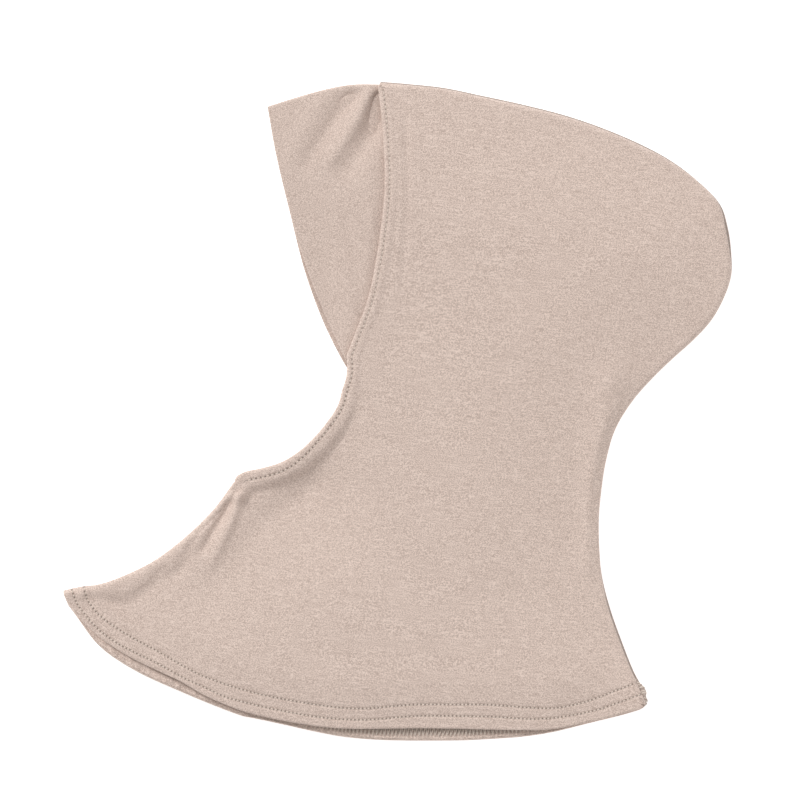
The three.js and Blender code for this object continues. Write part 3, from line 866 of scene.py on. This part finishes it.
@functools.lru_cache
def knit_group():
    """Fine jersey: heather speckle, slubs along the courses, and rows of small loops."""
    group, given, result = new_group(
        "Jersey Knit",
        {
            "Place": "Vector", "Dark": "Color", "Light": "Color", "Heather": "Float",
            "Slub": "Float", "Crumple": "Float",
        },
        {"Colour": "Color", "Relief": "Float"},
    )
    add, less, times = (
        functools.partial(maths, group, kind) for kind in ("ADD", "SUBTRACT", "MULTIPLY")
    )

    def speckle(scale, detail, seed):
        spread = add_node(
            group, "ShaderNodeMapping", Vector=given["Place"], Scale=scale, Location=(seed, seed, 0)
        ).outputs[0]
        return add_node(
            group, "ShaderNodeTexNoise", Vector=spread, Scale=1.0, Detail=detail, Roughness=0.6
        ).outputs["Fac"]

    fine = speckle((1800, 2300, 1900), 1.0, 3.0)
    cloud = speckle((60, 110, 90), 3.0, 7.0)
    streak = speckle((130, 1750, 400), 1.0, 11.0)
    tone = times(less(fine, 0.5), given["Heather"])
    tone = add(tone, times(less(cloud, 0.5), 0.25))
    # Light slubs, then dark ones
    for low, high, sign in ((0.57, 0.72, 1.0), (0.4, 0.27, -0.6)):
        slub = add_node(
            group, "ShaderNodeMapRange", Value=streak, From_Min=low, From_Max=high, To_Max=sign
        ).outputs[0]
        tone = add(tone, times(slub, given["Slub"]))
    feed(group, result["Colour"], mixed(group, add(tone, 0.5), given["Dark"], given["Light"]))

    parts = add_node(group, "ShaderNodeSeparateXYZ", Vector=given["Place"]).outputs
    leg = maths(group, "PINGPONG", times(parts["X"], 1 / WALE), 0.5)
    phase = times(add(times(parts["Y"], 1 / COURSE), leg), 2 * math.pi)
    loop = times(maths(group, "SINE", phase), 0.25)
    relief = add(add(loop, times(leg, 1.2)), times(fine, 0.8))
    crumple = speckle((190, 120, 150), 1.0, 5.0)
    feed(group, result["Relief"], add(relief, times(crumple, given["Crumple"])))
    return group


@functools.lru_cache
def stitch_group():
    """Painted shade of needle holes, and the groove of a row of stitches as a bump, from the stitch
    attribute.
    """
    group, given, result = new_group(
        "Stitch Holes", {"Row": "Vector", "Width": "Float"}, {"Hole": "Float", "Groove": "Float"}
    )
    times = functools.partial(maths, group, "MULTIPLY")
    along, away, depth = add_node(group, "ShaderNodeSeparateXYZ", Vector=given["Row"]).outputs

    def fade(width):
        share = maths(group, "DIVIDE", away, width)
        return maths(group, "EXPONENT", times(times(share, share), -1.0))

    # Painted shade in the needle holes between the stitches
    wave = maths(group, "COSINE", times(along, 2 * math.pi))
    beat = maths(group, "ADD", times(wave, 0.5), 0.5)
    painted_shade = times(times(maths(group, "POWER", beat, 1.6), fade(given["Width"])), depth)
    groove = times(times(fade(times(given["Width"], 1.7)), -1.0), depth)
    feed(group, result["Hole"], painted_shade)
    feed(group, result["Groove"], maths(group, "SUBTRACT", groove, painted_shade))
    return group


def new_material(name, **constants):
    """A material, its node tree and the inputs of its shader, some of them constant."""
    made = bpy.data.materials.new(name)
    made.use_nodes = True
    shader = made.node_tree.nodes["Principled BSDF"].inputs
    for key, value in constants.items():
        shader[key.replace("_", " ")].default_value = value
    return made, made.node_tree, shader


def roughen(tree, shader, height, strength, distance):
    """Bump of a height on the shader's normal."""
    bump = add_node(
        tree, "ShaderNodeBump", Strength=strength, Distance=distance, Height=height
    )
    tree.links.new(bump.outputs[0], shader["Normal"])


def jersey_material(
    name, dark, light, lean=0.1, heather=7.0, slub=0.75, stitches=0.0, crumple=0.0
):
    """Matt jersey. lean turns its courses away from X, stitches is the width of the painted shade in
    its holes.
    """
    made, tree, shader = new_material(
        name, Roughness=0.9, Specular_IOR_Level=0.3, Sheen_Weight=0.18, Sheen_Roughness=0.5
    )
    place = add_node(tree, "ShaderNodeTexCoord").outputs["Object"]
    turned = add_node(tree, "ShaderNodeMapping", Vector=place, Rotation=(0, 0, lean)).outputs[0]
    colour, height = add_node(
        tree, "ShaderNodeGroup", {"node_tree": knit_group()}, Place=turned, Dark=(*dark, 1),
        Light=(*light, 1), Heather=heather, Slub=slub, Crumple=crumple,
    ).outputs
    if stitches:
        row = add_node(tree, "ShaderNodeAttribute", {"attribute_name": "stitch"}).outputs["Vector"]
        painted_shade, groove = add_node(
            tree, "ShaderNodeGroup", {"node_tree": stitch_group()}, Row=row, Width=stitches
        ).outputs
        # Painted shade of the needle holes, mixed into the colour
        colour = mixed(tree, maths(tree, "MULTIPLY", painted_shade, 0.85), colour, PAINTED_SHADE_COLOUR)
        height = maths(tree, "ADD", height, maths(tree, "MULTIPLY", groove, 2.5))
    tree.links.new(colour, shader["Base Color"])
    roughen(tree, shader, height, 0.6, 0.12 * MM)
    return made


def thread_material(name, colour):
    made, tree, shader = new_material(name, Roughness=0.7, Sheen_Weight=0.2)
    place = add_node(tree, "ShaderNodeTexCoord").outputs["Object"]
    fibre = add_node(tree, "ShaderNodeTexNoise", Vector=place, Scale=2600.0, Detail=2.0)
    fibre = fibre.outputs["Fac"]
    dark, light = ((*(min(1, share * part) for part in colour), 1) for share in (0.72, 1.22))
    tree.links.new(mixed(tree, fibre, dark, light), shader["Base Color"])
    roughen(tree, shader, fibre, 0.5, 0.05 * MM)
    return made


# Settings

def length_setting(name, description, value):
    return FloatProperty(name=name, description=description, default=value * MM, unit="LENGTH")


def colour_setting(name, description, *value):
    return FloatVectorProperty(
        name=name, description=description, default=value, subtype="COLOR"
    )


class CapSizes(PropertyGroup):
    cloth: length_setting("Cloth", "Thickness of the jersey", 0.8)
    fold: length_setting("Fold", "Radius on which the hems are turned", 0.6)
    thread: length_setting("Thread", "Radius of the sewing thread", 0.21)


class CapColours(PropertyGroup):
    jersey_dark: colour_setting("Jersey Dark", "Darker fibres of the heather", 0.51, 0.395, 0.338)
    jersey_light: colour_setting("Jersey Light", "Lighter fibres", 0.79, 0.645, 0.567)
    thread: colour_setting("Thread", "Sewing thread", 0.86, 0.74, 0.65)


# Pieces

def finish_piece(piece, slot, material, *nodes):
    piece.data.materials.append(material)
    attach(piece, "root")
    if nodes:
        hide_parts(*nodes)


def tones(context, share=1.0):
    """Dark and light colour of the jersey, times a share."""
    colours = context.scene.cap_colours
    return [
        tuple(part * share for part in colour)
        for colour in (colours.jersey_dark, colours.jersey_light)
    ]


class CAP_OT_hood(Operator):
    """Builds the hood: both layers of jersey, folded at the throat and joined at the back"""

    bl_idname = "cap.hood"
    bl_label = "Hood"

    def execute(self, context):
        sizes = context.scene.cap_sizes
        half = sizes.cloth / 2
        hood = hood_lattice(half, sizes.fold)
        piece = cloth_mesh(
            "hood", hood.grid, hood.normals, hood.there, half, sizes.fold,
            stitch_places(hood.grid, hood.near_end),
        )
        material = jersey_material("Hood Jersey", *tones(context), stitches=0.5 * MM)
        finish_piece(piece, "hood_jersey", material, "hood_body")
        return {"FINISHED"}


class CAP_OT_brow_band(Operator):
    """Builds the doubled band over the forehead"""

    bl_idname = "cap.brow_band"
    bl_label = "Brow Band"

    def execute(self, context):
        grid, there = band_lattice()
        normals = lattice_normals(grid, there)
        piece = cloth_mesh("brow_band_cloth", grid, normals, there, BAND_WALL / 2)
        material = jersey_material(
            "Band Jersey", *tones(context, 0.98), lean=0.35, heather=5.2, slub=0.15
        )
        finish_piece(piece, "band_jersey", material, "brow_band")
        return {"FINISHED"}


class CAP_OT_hems(Operator):
    """Builds the edges that are turned inside round the face and at the neck"""

    bl_idname = "cap.hems"
    bl_label = "Turned Hems"

    def execute(self, context):
        sizes = context.scene.cap_sizes
        half = sizes.cloth / 2
        hood = hood_lattice(half, sizes.fold)
        grid = hood.grid - hood.normals * 2 * sizes.fold
        rows, columns = np.ogrid[: hood.there.shape[0], : hood.there.shape[1]]
        neck = (rows < HEM_STEPS) & (
            (columns < hood.near_end - SEAM_STEPS) | (columns >= hood.far_start + SEAM_STEPS)
        )
        front = (columns < EDGE_STEPS) | (
            (columns >= hood.far_end - EDGE_STEPS) & (columns < hood.far_end)
        )
        throat = (rows < hood.chin_row) & (columns >= hood.far_end)
        face = (rows >= hood.foot_row) & (rows < hood.head_row) & (front | throat)
        # The turned hems are the jersey painted 3 % lighter, against the shade under the near layer,
        # with painted shade between the hem's loops
        material = jersey_material(
            "Hem Jersey Painted Light And Shade", *tones(context, 1.03), slub=0.15, stitches=3.4 * MM, crumple=40.0
        )
        loops = loop_places(grid, hood.far_start)
        for node, there in (("face_hem", face), ("neck_hem", neck)):
            piece = cloth_mesh(f"{node}_cloth", grid, hood.normals, there, half, extra=loops)
            finish_piece(piece, "hem_jersey", material, node)
        return {"FINISHED"}


class CAP_OT_back_seam(Operator):
    """Builds the overlocked allowance of the back seam"""

    bl_idname = "cap.back_seam"
    bl_label = "Back Seam"

    def execute(self, context):
        stations = np.linspace(0.03, TUCK_STATION, 260)
        back, outward, reach = self.places(stations)
        half, cut = ALLOWANCE_HALF, ALLOWANCE_HALF / 2
        ring = np.array([
            (0, -cut), (0, cut), (-cut, half), (cut - SEAM_WIDTH, half), (-SEAM_WIDTH, cut),
            (-SEAM_WIDTH, -cut), (cut - SEAM_WIDTH, -half), (-cut, -half),
        ])
        out = reach[:, None] + ring[None, :, 0]
        up = np.broadcast_to(ROLL_HEIGHT + ring[:, 1], out.shape)
        grid = np.dstack((back[:, None] + outward[:, None] * out[..., None], up))
        number = np.arange(grid.shape[0] * len(ring)).reshape(-1, len(ring))
        after = np.roll(number, -1, axis=1)
        faces = np.stack((number[:-1], number[1:], after[1:], after[:-1]), -1).reshape(-1, 4)
        caps = np.array([(0, 1, 2, 3), (0, 3, 4, 7), (4, 5, 6, 7)])
        faces = np.vstack((faces, number[0][caps], number[-1][caps][:, ::-1]))
        piece = make_mesh("seam_allowance", grid.reshape(-1, 3), faces)
        # The allowance is the jersey darkened to three quarters: painted shade inside the seam
        jersey = jersey_material("Seam Jersey Painted Shade", *tones(context, 0.75))
        finish_piece(piece, "sewing_thread", jersey, "back_seam")
        radius = context.scene.cap_sizes.thread
        threads = thread_mesh("seam_loops", self.loops(radius), radius)
        material = thread_material("Seam Thread", context.scene.cap_colours.thread)
        finish_piece(threads, "sewing_thread", material)
        return {"FINISHED"}

    def places(self, stations):
        """Seam line, its outward way and how far out the allowance reaches, most at its end."""
        back, outward = seam_line(stations)
        end = 2.8 * MM * bell(stations - 0.19, 0.13)
        return back, outward, ROLL - WALL / 2 - ALLOWANCE_HALF + end

    def loops(self, radius):
        """Threads wrapped over the edge of the allowance, close together at its end."""
        close, apart = np.arange(0.02, 0.6, 0.03), np.arange(0.6, TUCK_STATION - 0.1, 0.07)
        steps = np.linspace(-1, 1, 9)
        paths = []
        for number, start in enumerate(np.concatenate((close, apart))):
            lean = 0.02 * math.sin(number * 2.4)
            back, outward, reach = self.places(start + 0.03 * steps + lean)
            out = reach + radius - (4.6 * MM) * steps**2
            up = ROLL_HEIGHT + (ALLOWANCE_HALF + radius) * np.sin(steps * math.pi / 2)
            paths.append(np.column_stack((back + outward * out[:, None], up)))
        return paths


class CAP_OT_stitches(Operator):
    """Builds the rows of stitches on the face edge and the neck hem, and the loops inside it"""

    bl_idname = "cap.stitches"
    bl_label = "Stitches"

    def execute(self, context):
        sizes = context.scene.cap_sizes
        material = thread_material("Sewing Thread", context.scene.cap_colours.thread)
        threads = {"face": [], "hem": []}
        for name, line, length in stitch_rows():
            threads[name] += self.row(line, length, sizes)
        threads["loops"] = self.loops(sizes)
        for name, paths in threads.items():
            piece = thread_mesh(f"{name}_stitches", paths, sizes.thread)
            finish_piece(piece, "sewing_thread", material)
        return {"FINISHED"}

    def row(self, line, length, sizes):
        """Short threads over the cloth, down into a needle hole at each end."""
        starts = np.arange(length * 0.5, travelled(line)[-1] - length, length)
        steps = np.linspace(-0.3, 0.3, 7)
        spots = places_on(line, (starts[:, None] + length * steps[None]).ravel())
        places, normals = surface(near_height, spots)
        lift = sizes.cloth / 2 + sizes.thread * np.tile(0.9 - 2.8 * (steps / 0.3) ** 4, len(starts))
        places = places + normals * lift[:, None]
        return list(places.reshape(len(starts), len(steps), 3))

    def loops(self, sizes):
        """Slanted threads over the turned edge inside the far layer of the hem."""
        edge = even_places(HEM_FAR, np.linspace(0, 1, 900))
        starts = np.arange(8 * LOOP, travelled(edge)[-1] - 8 * LOOP, LOOP)
        share = np.linspace(0, 1, 5)
        paths = []
        for start in starts:
            lean = loop_lean(start)
            for first, last, height in ((0.0, lean, share), (lean, LOOP, 1 - share)):
                at = start + first + (last - first) * share
                spots = places_on(edge, at)
                run = unit(places_on(edge, at + MM) - spots)
                off = loop_foot(spots) + (LOOP_HEAD - LOOP_FOOT) * height
                spots = spots + np.stack((-run[:, 1], run[:, 0]), axis=-1) * off[:, None]
                up = far_height(spots) + 2 * sizes.fold + sizes.cloth / 2
                up += sizes.thread * (1 + np.sin(np.pi * share) + (first == 0.0))
                paths.append(np.column_stack((spots, up)))
        return paths


# Stage

class CAP_OT_stage(Operator):
    """Sets the floor, the soft lights and the camera"""

    bl_idname = "cap.stage"
    bl_label = "Stage"

    def execute(self, context):
        scene = context.scene
        scene.view_settings.view_transform = "Standard"
        corners = ((-1, -1), (1, -1), (1, 1), (-1, 1))
        spots = [(x * FLOOR_REACH, y * FLOOR_REACH, -FLOOR_DROP) for x, y in corners]
        floor = make_mesh("floor", np.array(spots), np.array([(0, 1, 2, 3)]))
        floor.data.materials.append(new_material(
            "White Floor", Base_Color=(0.9, 0.9, 0.9, 1), Roughness=0.9,
            Emission_Color=(1, 1, 1, 1), Emission_Strength=0.55,
        )[0])

        world = bpy.data.worlds.new("Soft White")
        world.use_nodes = True
        background = world.node_tree.nodes["Background"].inputs
        background["Color"].default_value = (1, 1, 1, 1)
        background["Strength"].default_value = 0.5
        scene.world = world

        key = self.add_light("Key", "SUN", (-1.9, 1.9, 2.0), 2.15)
        key.angle = 0.45
        fill = self.add_light("Fill", "AREA", (1.6, -0.5, 0.9), 7.0)
        fill.size = 1.2
        camera = bpy.data.objects.new("Camera", bpy.data.cameras.new("Camera"))
        scene.collection.objects.link(camera)
        camera.location = (*plan((400, 400))[0], CAMERA_HEIGHT)
        camera.data.sensor_width = SENSOR
        camera.data.lens = SENSOR * (CAMERA_HEIGHT - VIEW_HEIGHT) / VIEW_BREADTH
        camera.data.clip_end = 20
        scene.camera = camera
        return {"FINISHED"}

    def add_light(self, name, kind, spot, power):
        """A light aimed at the middle of the cap."""
        lamp = bpy.data.lights.new(name, kind)
        lamp.energy = power
        made = bpy.data.objects.new(name, lamp)
        bpy.context.scene.collection.objects.link(made)
        made.location = spot
        made.rotation_euler = (-Vector(spot)).to_track_quat("-Z", "Y").to_euler()
        return lamp


class CAP_PT_panel(Panel):
    """Lists the sizes, the colours and the pieces of the cap"""

    bl_idname = "CAP_PT_panel"
    bl_label = "Underscarf Cap"
    bl_space_type = "VIEW_3D"
    bl_region_type = "UI"
    bl_category = "Cap"

    def draw(self, context):
        layout = self.layout
        for group in (context.scene.cap_sizes, context.scene.cap_colours):
            for name in group.__annotations__:
                layout.prop(group, name)
        for operator in OPERATORS:
            layout.operator(operator.bl_idname)


GROUPS = (CapSizes, CapColours)
OPERATORS = (
    CAP_OT_stage, CAP_OT_hood, CAP_OT_brow_band, CAP_OT_hems, CAP_OT_back_seam, CAP_OT_stitches,
)


def register():
    for item in (*GROUPS, *OPERATORS, CAP_PT_panel):
        bpy.utils.register_class(item)
    bpy.types.Scene.cap_sizes = PointerProperty(type=CapSizes)
    bpy.types.Scene.cap_colours = PointerProperty(type=CapColours)


def unregister():
    del bpy.types.Scene.cap_sizes
    del bpy.types.Scene.cap_colours
    for item in reversed((*GROUPS, *OPERATORS, CAP_PT_panel)):
        bpy.utils.unregister_class(item)


def main():
    register()
    bpy.ops.cap.stage()
    bpy.ops.cap.hood()
    bpy.ops.cap.brow_band()
    bpy.ops.cap.hems()
    bpy.ops.cap.back_seam()
    bpy.ops.cap.stitches()


if __name__ == "__main__":
    main()
